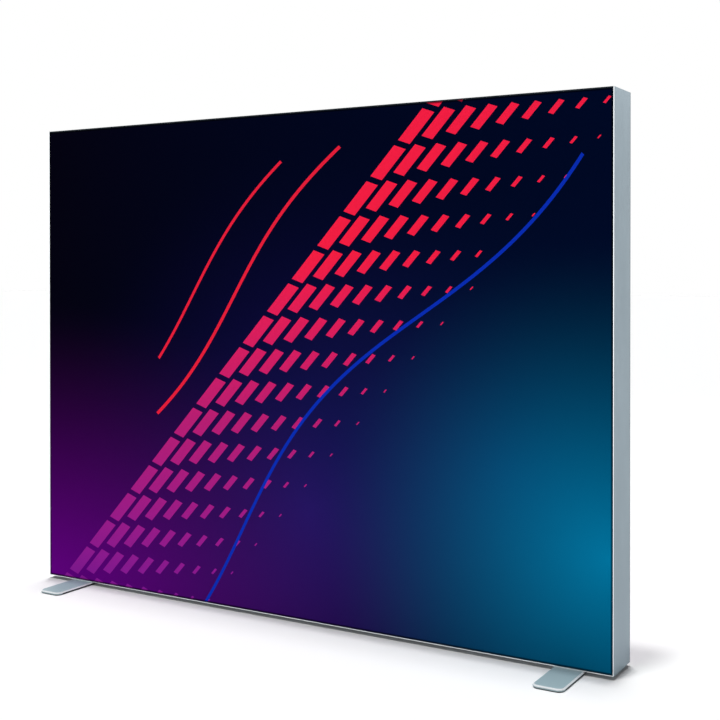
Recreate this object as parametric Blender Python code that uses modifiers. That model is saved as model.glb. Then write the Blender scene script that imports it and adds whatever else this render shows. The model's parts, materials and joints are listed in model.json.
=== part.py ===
"""Free-standing lightbox display wall with a fabric print on each side.

An aluminium frame of deep extrusions stands on two swivelling foot plates. Each print is a
stretched fabric sheet whose silicone edge sits in a groove around the frame. Light bars on the
top and bottom rails shine into the box, fed by a driver and a mains inlet on the left post.

X runs along the wall, Y from the front print to the rear one, and Z up. The origin is on the
floor under the middle of the wall. All lengths are in metres.
"""

import math

import bmesh
import bpy
from mathutils import Vector

# Overall size, the width as half of it because each rail comes in two lengths
HALF_WIDTH = 1.500
FRAME_HEIGHT = 2.250
FRAME_DEPTH = 0.190

# Clearance between neighbours, and the overrun of every cutter
GAP = 0.0003
OVERRUN = 0.005

# Frame extrusion
WALL = 0.0025
LIP_WIDTH = 0.0055
GROOVE_WIDTH = 0.0035
GROOVE_DEPTH = 0.014
GROOVE_LEG = 0.0025
GROOVE_FLOOR = 0.0025
CHANNEL_WIDTH = 0.060
CHANNEL_WALL = 0.002
CHANNEL_HOOK = 0.008

# Connectors that slide in the extrusion's channel
CONNECTOR_THICKNESS = 0.006
BRACKET_ARM = 0.090
SPLICE_LENGTH = 0.180

# Prints
PRINT_THICKNESS = 0.001

# Centre brace and its shoes
BRACE_WIDTH = 0.025
BRACE_DEPTH = 0.040
BRACE_WALL = 0.002
SHOE_LENGTH = 0.070
SHOE_PLATE = 0.003
SHOE_PLUG = 0.030

# Light bars and their lens strips
LED_BAR_INSET = 0.005
LED_BAR_HEIGHT = 0.010
LED_BAR_INNER_MARGIN = 0.010
LED_BAR_OUTER_MARGIN = 0.060
LENS_WIDTH = 0.022
LENS_HEIGHT = 0.009
LENS_SLOT_DEPTH = 0.003
LENS_ARC_POINTS = 9

# Plates that sit on the channel's hooks stop this far short of the channel's sides
SEAT_INSET = 0.002

# Mains inlet on the left post, above the corner bracket
INLET_RISE = 0.070
INLET_BACK = 0.008
INLET_RIB = 0.0024
INLET_SIDE = 0.0014
FLANGE_THICKNESS = 0.002
FLANGE_BORDER = 0.004
SOCKET_WIDTH = 0.024
SOCKET_HEIGHT = 0.0165
SOCKET_CORNER = 0.005
SOCKET_DEPTH = 0.016
PIN_THICKNESS = 0.002
PIN_WIDTH = 0.004
PIN_SPACING = 0.014
PIN_SHIFT = 0.002
PIN_SINK = 0.0045
PIN_TAB = 0.008
BOOT_DEPTH = 0.014
BOOT_WALL = 0.0015

# Rocker switch
ROCKER_WIDTH = 0.019
ROCKER_HALF_HEIGHT = 0.006
ROCKER_RISE = 0.0032
ROCKER_DISH = 0.0014
ROCKER_BACK = 0.0025
ROCKER_BACK_HALF_HEIGHT = 0.0045
ROCKER_SINK = 0.002
ROCKER_TILT = math.radians(10)
AXLE_RADIUS = 0.001
AXLE_REACH = 0.001

# Fuse drawer and fuse
DRAWER_SIDE = 0.0017
DRAWER_HEADROOM = 0.0015
DRAWER_DEPTH = 0.014
DRAWER_PROUD = 0.0008
DRAWER_WALL = 0.0012
FUSE_RADIUS = 0.0025
FUSE_LENGTH = 0.020

# Driver on the left post, its start above the inlet's middle
DRIVER_RISE = 0.120
DRIVER_LENGTH = 0.200
DRIVER_WIDTH = 0.060
DRIVER_HEIGHT = 0.034
DRIVER_SHELL = 0.0015
DRIVER_CAP = 0.003
BOARD_SIDE_MARGIN = 0.0035
BOARD_THICKNESS = 0.0016
BOARD_END_MARGIN = 0.006
PLATE_THICKNESS = 0.002
PLATE_OVERHANG = 0.030

# Leads and their clips
MAINS_LEAD_RADIUS = 0.0035
LED_LEAD_RADIUS = 0.002
LEAD_OFFSET = 0.018
CLIP_WIDTH = 0.010
CLIP_LENGTH = 0.012
CLIP_HEIGHT = 0.0085
CLIP_BORE_HEIGHT = 0.0050
LOWER_CLIP_DROP = 0.045
UPPER_CLIP_SHARES = (0.25, 0.70)
ROUTE_STEPS = 5

# Feet, their bolts and their pads
LEFT_FOOT_INSET = 0.228
RIGHT_FOOT_INSET = 0.183
FOOT_WIDTH = 0.130
FOOT_REACH = 0.222
FOOT_THICKNESS = 0.011
FOOT_CORNER = 0.028
FOOT_CHAMFER = 0.006
FOOT_CORNER_STEPS = 8
PAD_THICKNESS = 0.003
PAD_LENGTH = 0.280
PAD_SIDE_INSET = 0.003
PAD_END_INSET = 0.003
PAD_CORNER = 0.025
PAD_CORNER_STEPS = 8
BOLT_RADIUS = 0.004
BOLT_HEAD_RADIUS = 0.008
BOLT_HEAD_HEIGHT = 0.0045
BOLT_HEAD_SINK = 0.0005
WASHER_RADIUS = 0.015
WASHER_THICKNESS = 0.0012
NUT_LENGTH = 0.050
TURN_STEPS = 24
SHARP_ANGLE = math.radians(30)

# Places worked out from the sizes above
FRAME_BOTTOM = PAD_THICKNESS + FOOT_THICKNESS + 2 * GAP
FRAME_TOP = FRAME_BOTTOM + FRAME_HEIGHT
HALF_HEIGHT = FRAME_HEIGHT / 2
HALF_DEPTH = FRAME_DEPTH / 2
CHANNEL_HEIGHT = CONNECTOR_THICKNESS + 2 * GAP
HOOK_FACE = WALL + CHANNEL_HEIGHT + CHANNEL_WALL
SEAT = HOOK_FACE + GAP
HOOK_MIDDLE = (CHANNEL_WIDTH - CHANNEL_HOOK) / 2
CONNECTOR_WIDTH = CHANNEL_WIDTH - 2 * GAP
CONNECTOR_START = WALL + GAP
SEATED_WIDTH = CHANNEL_WIDTH - 2 * SEAT_INSET
LED_BAR_WIDTH = CHANNEL_WIDTH - 2 * LED_BAR_INSET
LED_BAR_INNER_END = SHOE_LENGTH / 2 + LED_BAR_INNER_MARGIN
FOOT_PLACES = {"left": LEFT_FOOT_INSET - HALF_WIDTH, "right": HALF_WIDTH - RIGHT_FOOT_INSET}

# Places on the left post, as heights above the frame's underside or as depths into the box
INLET_CENTRE = BRACKET_ARM + INLET_RISE
INLET_FACE = -(GAP + FLANGE_THICKNESS)
DRAWER_WIDTH = FUSE_LENGTH + 2 * (DRAWER_SIDE + GAP)
DRAWER_HEIGHT = DRAWER_WALL + GAP + 2 * FUSE_RADIUS + DRAWER_HEADROOM
DRAWER_BAY_HEIGHT = DRAWER_HEIGHT + 2 * GAP
ROCKER_BAY_HEIGHT = 2 * (math.hypot(ROCKER_HALF_HEIGHT, ROCKER_RISE) + GAP)
ROCKER_BAY_DEPTH = ROCKER_SINK + math.hypot(ROCKER_BACK, ROCKER_BACK_HALF_HEIGHT) + GAP
AXLE_BORE_LENGTH = ROCKER_WIDTH + 2 * (AXLE_REACH + 2 * GAP)
INLET_WIDTH = max(SOCKET_WIDTH, DRAWER_WIDTH + 2 * GAP, AXLE_BORE_LENGTH) + 2 * INLET_SIDE
INLET_HEIGHT = SOCKET_HEIGHT + DRAWER_BAY_HEIGHT + ROCKER_BAY_HEIGHT + 4 * INLET_RIB
INLET_DEPTH = INLET_FACE + max(SOCKET_DEPTH, DRAWER_DEPTH + GAP, ROCKER_BAY_DEPTH) + INLET_BACK
SOCKET_PLACE = INLET_CENTRE - INLET_HEIGHT / 2 + INLET_RIB + SOCKET_HEIGHT / 2
DRAWER_PLACE = SOCKET_PLACE + SOCKET_HEIGHT / 2 + INLET_RIB + DRAWER_BAY_HEIGHT / 2
ROCKER_PLACE = INLET_CENTRE + INLET_HEIGHT / 2 - INLET_RIB - ROCKER_BAY_HEIGHT / 2
DRIVER_START = INLET_CENTRE + DRIVER_RISE
DRIVER_END = DRIVER_START + DRIVER_LENGTH
DRIVER_INWARD = SEAT + PLATE_THICKNESS + GAP
LOWER_CLIP = DRIVER_START - PLATE_OVERHANG - LOWER_CLIP_DROP
UPPER_CLIPS = [DRIVER_END + share * (FRAME_HEIGHT - DRIVER_END) for share in UPPER_CLIP_SHARES]

# Colour, roughness and metallic value of each finish
ANODISED = ((0.62, 0.66, 0.69), 0.35, 1.0)
BARE_METAL = ((0.60, 0.60, 0.60), 0.40, 1.0)
FOOT_METAL = ((0.48, 0.54, 0.57), 0.40, 0.8)
ZINC = ((0.55, 0.56, 0.58), 0.30, 1.0)
CLEAR_LENS = ((0.90, 0.92, 0.95), 0.10, 0.0)
BLACK_PLASTIC = ((0.03, 0.03, 0.03), 0.45, 0.0)
WHITE_PLASTIC = ((0.80, 0.80, 0.78), 0.50, 0.0)
RED_PLASTIC = ((0.55, 0.03, 0.02), 0.35, 0.0)
BOARD_GREEN = ((0.03, 0.20, 0.08), 0.50, 0.0)
BRASS = ((0.72, 0.55, 0.25), 0.30, 1.0)
SILICONE = ((0.75, 0.75, 0.73), 0.60, 0.0)
RUBBER = ((0.04, 0.04, 0.04), 0.80, 0.0)
PRINT_FABRIC = ((0.05, 0.03, 0.16), 0.75, 0.0)

# Turn of a piece on each side of the frame: its local X lies across the depth, its local Y
# points into the box and its local Z runs to the right or upwards along the side
QUARTER = math.pi / 2
SIDE_TURNS = {
    "bottom": (QUARTER, 0, QUARTER),
    "top": (-QUARTER, 0, -QUARTER),
    "left": (0, 0, -QUARTER),
    "right": (0, 0, QUARTER),
}


def start_empty_scene():
    """Removes every object and makes the collections of the wall and of its cutters."""
    for old in list(bpy.data.objects):
        bpy.data.objects.remove(old, do_unlink=True)
    made = []
    for name in ("lightbox_display_wall", "cutters"):
        collection = bpy.data.collections.new(name)
        bpy.context.scene.collection.children.link(collection)
        made.append(collection)
    made[1].hide_render = True
    return made


WALL_PARTS, CUTTERS = start_empty_scene()


def add_object(name, mesh, finish):
    """Puts a mesh in the scene as one named piece with a material of its own."""
    piece = bpy.data.objects.new(name, mesh)
    WALL_PARTS.objects.link(piece)
    colour, roughness, metallic = finish
    material = bpy.data.materials.new(name)
    material.use_nodes = True
    shader = material.node_tree.nodes["Principled BSDF"]
    shader.inputs["Base Color"].default_value = (*colour, 1.0)
    shader.inputs["Roughness"].default_value = roughness
    shader.inputs["Metallic"].default_value = metallic
    mesh.materials.append(material)
    return piece


def add_cutter(target, mesh, operation="DIFFERENCE", location=None, rotation=None):
    """Cuts a mesh out of a piece, or joins it to the piece, at the piece's own place by default."""
    cutter = bpy.data.objects.new(f"{target.name}_{operation.lower()}", mesh)
    CUTTERS.objects.link(cutter)
    cutter.hide_render = True
    cutter.display_type = "WIRE"
    cutter.location = target.location if location is None else location
    cutter.rotation_euler = target.rotation_euler if rotation is None else rotation
    modifier = target.modifiers.new(operation.lower(), "BOOLEAN")
    modifier.operation = operation
    modifier.solver = "EXACT"
    modifier.object = cutter
    return cutter


def add_empty(name, location):
    """Marks a joint's axis, and carries the pieces that move on it."""
    empty = bpy.data.objects.new(name, None)
    empty.location = location
    WALL_PARTS.objects.link(empty)
    return empty


def hang_on(empty, *pieces):
    """Parents pieces to an empty without moving them."""
    for piece in pieces:
        piece.parent = empty
        piece.location = piece.location - empty.location


def finish_mesh(name, body):
    """Turns a bmesh into a mesh with its faces pointing out and only its corners sharp."""
    bmesh.ops.recalc_face_normals(body, faces=body.faces)
    mesh = bpy.data.meshes.new(name)
    body.to_mesh(mesh)
    body.free()
    mesh.shade_smooth()
    mesh.set_sharp_from_angle(angle=SHARP_ANGLE)
    return mesh


def box_mesh(name, size, centre=(0, 0, 0)):
    """A box of the given size about a centre."""
    body = bmesh.new()
    bmesh.ops.create_cube(body, size=1)
    bmesh.ops.scale(body, verts=body.verts, vec=size)
    bmesh.ops.translate(body, verts=body.verts, vec=centre)
    return finish_mesh(name, body)


def cylinder_mesh(name, radius, length, centre=(0, 0, 0)):
    """A cylinder along Z about a centre."""
    body = bmesh.new()
    bmesh.ops.create_cone(
        body, cap_ends=True, segments=TURN_STEPS, radius1=radius, radius2=radius, depth=length
    )
    bmesh.ops.translate(body, verts=body.verts, vec=centre)
    return finish_mesh(name, body)


def rounded_plate_mesh(name, size, corner, corner_steps, top_chamfer=0):
    """A flat plate with round corners, and a chamfer around its top face if one is asked for."""
    body = bmesh.new()
    bmesh.ops.create_cube(body, size=1)
    bmesh.ops.scale(body, verts=body.verts, vec=size)
    upright = [e for e in body.edges if e.verts[0].co.xy == e.verts[1].co.xy]
    bmesh.ops.bevel(
        body, geom=upright, offset=corner, segments=corner_steps, profile=0.5, affect="EDGES"
    )
    if top_chamfer:
        top = max(body.faces, key=lambda face: face.calc_center_median().z)
        bmesh.ops.bevel(body, geom=list(top.edges), offset=top_chamfer, segments=1, affect="EDGES")
    return finish_mesh(name, body)


def extruded_mesh(name, outlines, length):
    """Flat outlines in XY, extruded along Z about the origin; an outline inside another is a hole."""
    curve = bpy.data.curves.new(name, "CURVE")
    curve.dimensions = "2D"
    curve.fill_mode = "BOTH"
    curve.extrude = length / 2
    for outline in outlines:
        spline = curve.splines.new("POLY")
        spline.points.add(len(outline) - 1)
        for point, (x, y) in zip(spline.points, outline):
            point.co = (x, y, 0, 1)
        spline.use_cyclic_u = True
    holder = bpy.data.objects.new(name, curve)
    bpy.context.scene.collection.objects.link(holder)
    evaluated = holder.evaluated_get(bpy.context.evaluated_depsgraph_get())
    flat = bpy.data.meshes.new_from_object(evaluated)
    bpy.data.objects.remove(holder)
    bpy.data.curves.remove(curve)
    body = bmesh.new()
    body.from_mesh(flat)
    bpy.data.meshes.remove(flat)
    bmesh.ops.remove_doubles(body, verts=body.verts, dist=GAP / 10)
    return finish_mesh(name, body)


def turned_piece(name, profile, finish, location):
    """A turned piece: a profile of radii and heights, swept about Z by a Screw modifier."""
    points = [(radius, 0, height) for radius, height in profile]
    closed = profile[0][0] > 0
    edges = [(i, i + 1) for i in range(len(points) - 1)]
    if closed:
        edges.append((len(points) - 1, 0))
    mesh = bpy.data.meshes.new(name)
    mesh.from_pydata(points, edges, [])
    piece = add_object(name, mesh, finish)
    piece.location = location
    screw = piece.modifiers.new("turn", "SCREW")
    screw.steps = TURN_STEPS
    screw.render_steps = TURN_STEPS
    screw.use_merge_vertices = True
    screw.merge_threshold = GAP / 10
    screw.use_smooth_shade = True
    return piece


def rectangle(width, height):
    """Corners of a rectangle about the origin."""
    return [
        (-width / 2, -height / 2),
        (width / 2, -height / 2),
        (width / 2, height / 2),
        (-width / 2, height / 2),
    ]


def at(side, along, depth=0, inward=0):
    """A point on one side of the frame.

    Along is X on a rail and the height above the frame's underside on a post; inward is measured
    from the outer face into the box.
    """
    return {
        "bottom": Vector((along, depth, FRAME_BOTTOM + inward)),
        "top": Vector((along, depth, FRAME_TOP - inward)),
        "left": Vector((-HALF_WIDTH + inward, depth, FRAME_BOTTOM + along)),
        "right": Vector((HALF_WIDTH - inward, depth, FRAME_BOTTOM + along)),
    }[side]


def seat(piece, side, along, depth=0, inward=0):
    """Places a piece on one side of the frame, turned to that side."""
    piece.location = at(side, along, depth, inward)
    piece.rotation_euler = SIDE_TURNS[side]
    return piece


def extrusion_outline():
    """Section of the frame extrusion, as depth and distance from the outer face.

    A groove for the silicone edge opens at each face, and a hooked channel for the connectors
    runs down the middle.
    """
    leg_start = LIP_WIDTH + GROOVE_WIDTH
    leg_end = leg_start + GROOVE_LEG
    leg_face = HALF_DEPTH - PRINT_THICKNESS - GAP
    groove_floor = HALF_DEPTH - GROOVE_DEPTH
    block_back = groove_floor - GROOVE_FLOOR
    channel_side = CHANNEL_WIDTH / 2
    hook_edge = channel_side - CHANNEL_HOOK
    hook_back = WALL + CHANNEL_HEIGHT
    half = [
        (HALF_DEPTH, 0),
        (HALF_DEPTH, LIP_WIDTH),
        (groove_floor, LIP_WIDTH),
        (groove_floor, leg_start),
        (leg_face, leg_start),
        (leg_face, leg_end),
        (block_back, leg_end),
        (block_back, WALL),
        (channel_side + CHANNEL_WALL, WALL),
        (channel_side + CHANNEL_WALL, HOOK_FACE),
        (hook_edge, HOOK_FACE),
        (hook_edge, hook_back),
        (channel_side, hook_back),
        (channel_side, WALL),
    ]
    return half + [(-depth, inward) for depth, inward in reversed(half)]


def extrusion_mesh(name, length, mitred_ends):
    """A length of extrusion whose named ends, +1 or -1 along Z, are mitred at 45 degrees."""
    mesh = extruded_mesh(name, [extrusion_outline()], length)
    for vertex in mesh.vertices:
        end = math.copysign(1, vertex.co.z)
        if end in mitred_ends:
            vertex.co.z -= end * vertex.co.y
    return mesh


def build_frame():
    """Two posts and two rails. Each rail is two lengths that meet at the middle of the wall."""
    for side in ("left", "right"):
        name = f"{side}_post"
        post = add_object(name, extrusion_mesh(name, FRAME_HEIGHT, (1, -1)), ANODISED)
        seat(post, side, HALF_HEIGHT)
        if side == "left":
            cut_inlet_hole(post)
    mitre_gap = GAP * math.sqrt(2)
    rail_length = HALF_WIDTH - mitre_gap - GAP / 2
    rail_middle = (HALF_WIDTH - mitre_gap + GAP / 2) / 2
    for side in ("bottom", "top"):
        for half, way in (("left", -1), ("right", 1)):
            name = f"{side}_rail_{half}"
            mesh = extrusion_mesh(name, rail_length, (way,))
            rail = add_object(name, mesh, ANODISED)
            seat(rail, side, way * rail_middle)
            if side == "bottom":
                bolt_hole = cylinder_mesh(name, BOLT_RADIUS + GAP, 2 * (WALL + OVERRUN))
                bolt_place = at("bottom", FOOT_PLACES[half])
                add_cutter(rail, bolt_hole, location=bolt_place, rotation=(0, 0, 0))


def build_connectors():
    """Corner brackets and splice bars, which slide in the channels of the extrusions."""
    near = CONNECTOR_START
    far = near + CONNECTOR_THICKNESS
    bracket = [
        (near, near),
        (BRACKET_ARM, near),
        (BRACKET_ARM, far),
        (far, far),
        (far, BRACKET_ARM),
        (near, BRACKET_ARM),
    ]
    corners = {
        "bottom_left": (-HALF_WIDTH, FRAME_BOTTOM, 0),
        "bottom_right": (HALF_WIDTH, FRAME_BOTTOM, -QUARTER),
        "top_left": (-HALF_WIDTH, FRAME_TOP, QUARTER),
        "top_right": (HALF_WIDTH, FRAME_TOP, 2 * QUARTER),
    }
    for corner, (x, z, turn) in corners.items():
        name = f"corner_bracket_{corner}"
        piece = add_object(name, extruded_mesh(name, [bracket], CONNECTOR_WIDTH), BARE_METAL)
        piece.location = (x, 0, z)
        piece.rotation_euler = (QUARTER, turn, 0)
    for side in ("bottom", "top"):
        name = f"splice_bar_{side}"
        size = (CONNECTOR_WIDTH, CONNECTOR_THICKNESS, SPLICE_LENGTH)
        bar = add_object(name, box_mesh(name, size), BARE_METAL)
        seat(bar, side, 0, inward=CONNECTOR_START + CONNECTOR_THICKNESS / 2)


def build_brace():
    """An upright tube at the middle of the wall, held by a shoe on each rail's channel."""
    foot_of_tube = SEAT + SHOE_PLATE + GAP
    tube = [
        rectangle(BRACE_WIDTH, BRACE_DEPTH),
        rectangle(BRACE_WIDTH - 2 * BRACE_WALL, BRACE_DEPTH - 2 * BRACE_WALL),
    ]
    mesh = extruded_mesh("centre_brace", tube, FRAME_HEIGHT - 2 * foot_of_tube)
    brace = add_object("centre_brace", mesh, ANODISED)
    brace.location = (0, 0, FRAME_BOTTOM + HALF_HEIGHT)
    plug_size = (
        BRACE_DEPTH - 2 * (BRACE_WALL + GAP),
        SHOE_PLATE + SHOE_PLUG,
        BRACE_WIDTH - 2 * (BRACE_WALL + GAP),
    )
    for side in ("bottom", "top"):
        name = f"brace_shoe_{side}"
        plate = box_mesh(name, (SEATED_WIDTH, SHOE_PLATE, SHOE_LENGTH), (0, SHOE_PLATE / 2, 0))
        shoe = seat(add_object(name, plate, BLACK_PLASTIC), side, 0, inward=SEAT)
        plug = box_mesh(name, plug_size, (0, plug_size[1] / 2, 0))
        add_cutter(shoe, plug, "UNION")


def build_light_bars():
    """A heat-sink bar with a lens strip on each half of both rails, facing into the box."""
    length = HALF_WIDTH - LED_BAR_OUTER_MARGIN - LED_BAR_INNER_END
    middle = LED_BAR_INNER_END + length / 2
    slot_half = LENS_WIDTH / 2 + GAP
    slot_floor = LED_BAR_HEIGHT - LENS_SLOT_DEPTH
    bar = [
        (-LED_BAR_WIDTH / 2, 0),
        (LED_BAR_WIDTH / 2, 0),
        (LED_BAR_WIDTH / 2, LED_BAR_HEIGHT),
        (slot_half, LED_BAR_HEIGHT),
        (slot_half, slot_floor),
        (-slot_half, slot_floor),
        (-slot_half, LED_BAR_HEIGHT),
        (-LED_BAR_WIDTH / 2, LED_BAR_HEIGHT),
    ]
    angles = [math.pi * i / (LENS_ARC_POINTS - 1) for i in range(LENS_ARC_POINTS)]
    dome = LENS_HEIGHT - LENS_SLOT_DEPTH
    lens = [(-LENS_WIDTH / 2, 0), (LENS_WIDTH / 2, 0)]
    lens += [(LENS_WIDTH / 2 * math.cos(a), LENS_SLOT_DEPTH + dome * math.sin(a)) for a in angles]
    for side in ("bottom", "top"):
        for half, way in (("left", -1), ("right", 1)):
            name = f"led_bar_{side}_{half}"
            carrier = add_object(name, extruded_mesh(name, [bar], length), BARE_METAL)
            seat(carrier, side, way * middle, inward=SEAT)
            name = f"led_lens_{side}_{half}"
            strip = add_object(name, extruded_mesh(name, [lens], length), CLEAR_LENS)
            seat(strip, side, way * middle, inward=SEAT + slot_floor + GAP)


def build_driver():
    """The power supply: a sleeve with two end caps and a board inside, on a mounting plate."""
    middle = DRIVER_START + DRIVER_LENGTH / 2
    centre_line = DRIVER_INWARD + DRIVER_HEIGHT / 2
    plate_size = (SEATED_WIDTH, PLATE_THICKNESS, DRIVER_LENGTH + 2 * PLATE_OVERHANG)
    plate = add_object("driver_plate", box_mesh("driver_plate", plate_size), BARE_METAL)
    seat(plate, "left", middle, inward=SEAT + PLATE_THICKNESS / 2)
    inside = (DRIVER_WIDTH - 2 * DRIVER_SHELL, DRIVER_HEIGHT - 2 * DRIVER_SHELL)
    sleeve = [rectangle(DRIVER_WIDTH, DRIVER_HEIGHT), rectangle(*inside)]
    sleeve_length = DRIVER_LENGTH - 2 * (DRIVER_CAP + GAP)
    case = add_object("driver_case", extruded_mesh("driver_case", sleeve, sleeve_length), ANODISED)
    seat(case, "left", middle, inward=centre_line)
    board_size = (
        inside[0] - 2 * BOARD_SIDE_MARGIN,
        BOARD_THICKNESS,
        sleeve_length - 2 * BOARD_END_MARGIN,
    )
    board = add_object("driver_board", box_mesh("driver_board", board_size), BOARD_GREEN)
    seat(board, "left", middle, inward=DRIVER_INWARD + DRIVER_SHELL + GAP + BOARD_THICKNESS / 2)
    for name, way in (("driver_cap_lower", -1), ("driver_cap_upper", 1)):
        cap_size = (DRIVER_WIDTH, DRIVER_HEIGHT, DRIVER_CAP)
        cap = add_object(name, box_mesh(name, cap_size), BLACK_PLASTIC)
        seat(cap, "left", middle + way * (DRIVER_LENGTH - DRIVER_CAP) / 2, inward=centre_line)


def inlet_block(name, width, height, start, end, along=0):
    """A box in the inlet's frame, from one depth behind the post's outer face to another."""
    return box_mesh(name, (width, end - start, height), (0, (start + end) / 2, along))


def cut_inlet_hole(post):
    """Opens the post's outer wall for the inlet's body."""
    hole = inlet_block(
        "inlet_hole", INLET_WIDTH + 2 * GAP, INLET_HEIGHT + 2 * GAP, -OVERRUN, WALL + OVERRUN
    )
    add_cutter(post, hole, location=at("left", INLET_CENTRE), rotation=SIDE_TURNS["left"])


def build_inlet_housing():
    """A snap-in housing with a socket at the bottom, a fuse drawer bay and a rocker bay."""
    flange = inlet_block(
        "inlet_housing",
        INLET_WIDTH + 2 * FLANGE_BORDER,
        INLET_HEIGHT + 2 * FLANGE_BORDER,
        INLET_FACE,
        -GAP,
    )
    housing = seat(add_object("inlet_housing", flange, BLACK_PLASTIC), "left", INLET_CENTRE)
    half_flange = INLET_FACE + FLANGE_THICKNESS / 2
    body = inlet_block("body", INLET_WIDTH, INLET_HEIGHT, half_flange, INLET_DEPTH)
    add_cutter(housing, body, "UNION")

    half_width = SOCKET_WIDTH / 2
    half_height = SOCKET_HEIGHT / 2
    socket_outline = [
        (-half_width, -half_height),
        (half_width, -half_height),
        (half_width, half_height - SOCKET_CORNER),
        (half_width - SOCKET_CORNER, half_height),
        (-half_width + SOCKET_CORNER, half_height),
        (-half_width, half_height - SOCKET_CORNER),
    ]
    add_cutter(
        housing,
        extruded_mesh("socket", [socket_outline], 2 * SOCKET_DEPTH),
        location=at("left", SOCKET_PLACE, inward=INLET_FACE),
        rotation=(QUARTER, 0, QUARTER),
    )
    drawer_bay = inlet_block(
        "drawer_bay",
        DRAWER_WIDTH + 2 * GAP,
        DRAWER_BAY_HEIGHT,
        INLET_FACE - OVERRUN,
        INLET_FACE + DRAWER_DEPTH + GAP,
        DRAWER_PLACE - INLET_CENTRE,
    )
    add_cutter(housing, drawer_bay)
    rocker_bay = inlet_block(
        "rocker_bay",
        ROCKER_WIDTH + 2 * GAP,
        ROCKER_BAY_HEIGHT,
        INLET_FACE - OVERRUN,
        INLET_FACE + ROCKER_BAY_DEPTH,
        ROCKER_PLACE - INLET_CENTRE,
    )
    add_cutter(housing, rocker_bay)
    add_cutter(
        housing,
        cylinder_mesh("axle_bore", AXLE_RADIUS + GAP, AXLE_BORE_LENGTH),
        location=at("left", ROCKER_PLACE, inward=INLET_FACE + ROCKER_SINK),
        rotation=(QUARTER, 0, 0),
    )
    for depth, rise in pin_places().values():
        slot = box_mesh(
            "pin_slot",
            (PIN_THICKNESS + 2 * GAP, INLET_DEPTH + OVERRUN, PIN_WIDTH + 2 * GAP),
            (depth, (INLET_DEPTH + OVERRUN) / 2, SOCKET_PLACE + rise - INLET_CENTRE),
        )
        add_cutter(housing, slot)


def pin_places():
    """Depth and rise of each contact pin from the middle of the socket."""
    return {
        "live": (-PIN_SPACING / 2, -PIN_SHIFT),
        "neutral": (PIN_SPACING / 2, -PIN_SHIFT),
        "earth": (0, PIN_SHIFT),
    }


def build_inlet_contacts():
    """Three flat pins through the housing's back wall, and the boot over their tabs."""
    start = INLET_FACE + PIN_SINK
    end = INLET_DEPTH + PIN_TAB
    for contact, (depth, rise) in pin_places().items():
        name = f"inlet_pin_{contact}"
        pin = add_object(name, box_mesh(name, (PIN_THICKNESS, end - start, PIN_WIDTH)), BRASS)
        seat(pin, "left", SOCKET_PLACE + rise, depth, (start + end) / 2)
    boot_start = INLET_DEPTH + GAP
    boot_end = boot_start + BOOT_DEPTH
    shell = inlet_block("inlet_boot", INLET_WIDTH, INLET_HEIGHT, boot_start, boot_end)
    boot = seat(add_object("inlet_boot", shell, RUBBER), "left", INLET_CENTRE)
    hollow = inlet_block(
        "boot_hollow",
        INLET_WIDTH - 2 * BOOT_WALL,
        INLET_HEIGHT - 2 * BOOT_WALL,
        boot_start - OVERRUN,
        boot_end - BOOT_WALL,
    )
    add_cutter(boot, hollow)


def build_rocker():
    """The switch's rocker in its on position, turning on stub axles."""
    outline = [
        (ROCKER_RISE, -ROCKER_HALF_HEIGHT),
        (ROCKER_RISE - ROCKER_DISH, 0),
        (ROCKER_RISE, ROCKER_HALF_HEIGHT),
        (-ROCKER_BACK, ROCKER_BACK_HALF_HEIGHT),
        (-ROCKER_BACK, -ROCKER_BACK_HALF_HEIGHT),
    ]
    mesh = extruded_mesh("rocker_switch", [outline], ROCKER_WIDTH)
    rocker = add_object("rocker_switch", mesh, RED_PLASTIC)
    rocker.location = at("left", ROCKER_PLACE, inward=INLET_FACE + ROCKER_SINK)
    rocker.rotation_euler = (QUARTER, ROCKER_TILT, 2 * QUARTER)
    axle = cylinder_mesh("rocker_axle", AXLE_RADIUS, ROCKER_WIDTH + 2 * AXLE_REACH)
    add_cutter(rocker, axle, "UNION")


def build_fuse_drawer():
    """A small drawer that pulls out of the inlet with the fuse in it."""
    drawer_end = INLET_FACE + DRAWER_DEPTH
    slide = add_empty("fuse_drawer_slide", at("left", DRAWER_PLACE))
    block = inlet_block(
        "fuse_drawer", DRAWER_WIDTH, DRAWER_HEIGHT, INLET_FACE - DRAWER_PROUD, drawer_end
    )
    drawer = seat(add_object("fuse_drawer", block, BLACK_PLASTIC), "left", DRAWER_PLACE)
    fuse_inward = drawer_end - DRAWER_WALL - GAP - FUSE_RADIUS
    pocket_floor = -DRAWER_HEIGHT / 2 + DRAWER_WALL
    pocket_height = DRAWER_HEIGHT / 2 + OVERRUN - pocket_floor
    pocket = box_mesh(
        "fuse_pocket",
        (FUSE_LENGTH + 2 * GAP, 2 * (FUSE_RADIUS + GAP), pocket_height),
        (0, fuse_inward, pocket_floor + pocket_height / 2),
    )
    add_cutter(drawer, pocket)
    fuse = add_object("fuse", cylinder_mesh("fuse", FUSE_RADIUS, FUSE_LENGTH), BRASS)
    fuse.location = at("left", DRAWER_PLACE + pocket_floor + GAP + FUSE_RADIUS, 0, fuse_inward)
    fuse.rotation_euler = (QUARTER, 0, 0)
    hang_on(slide, drawer, fuse)


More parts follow.
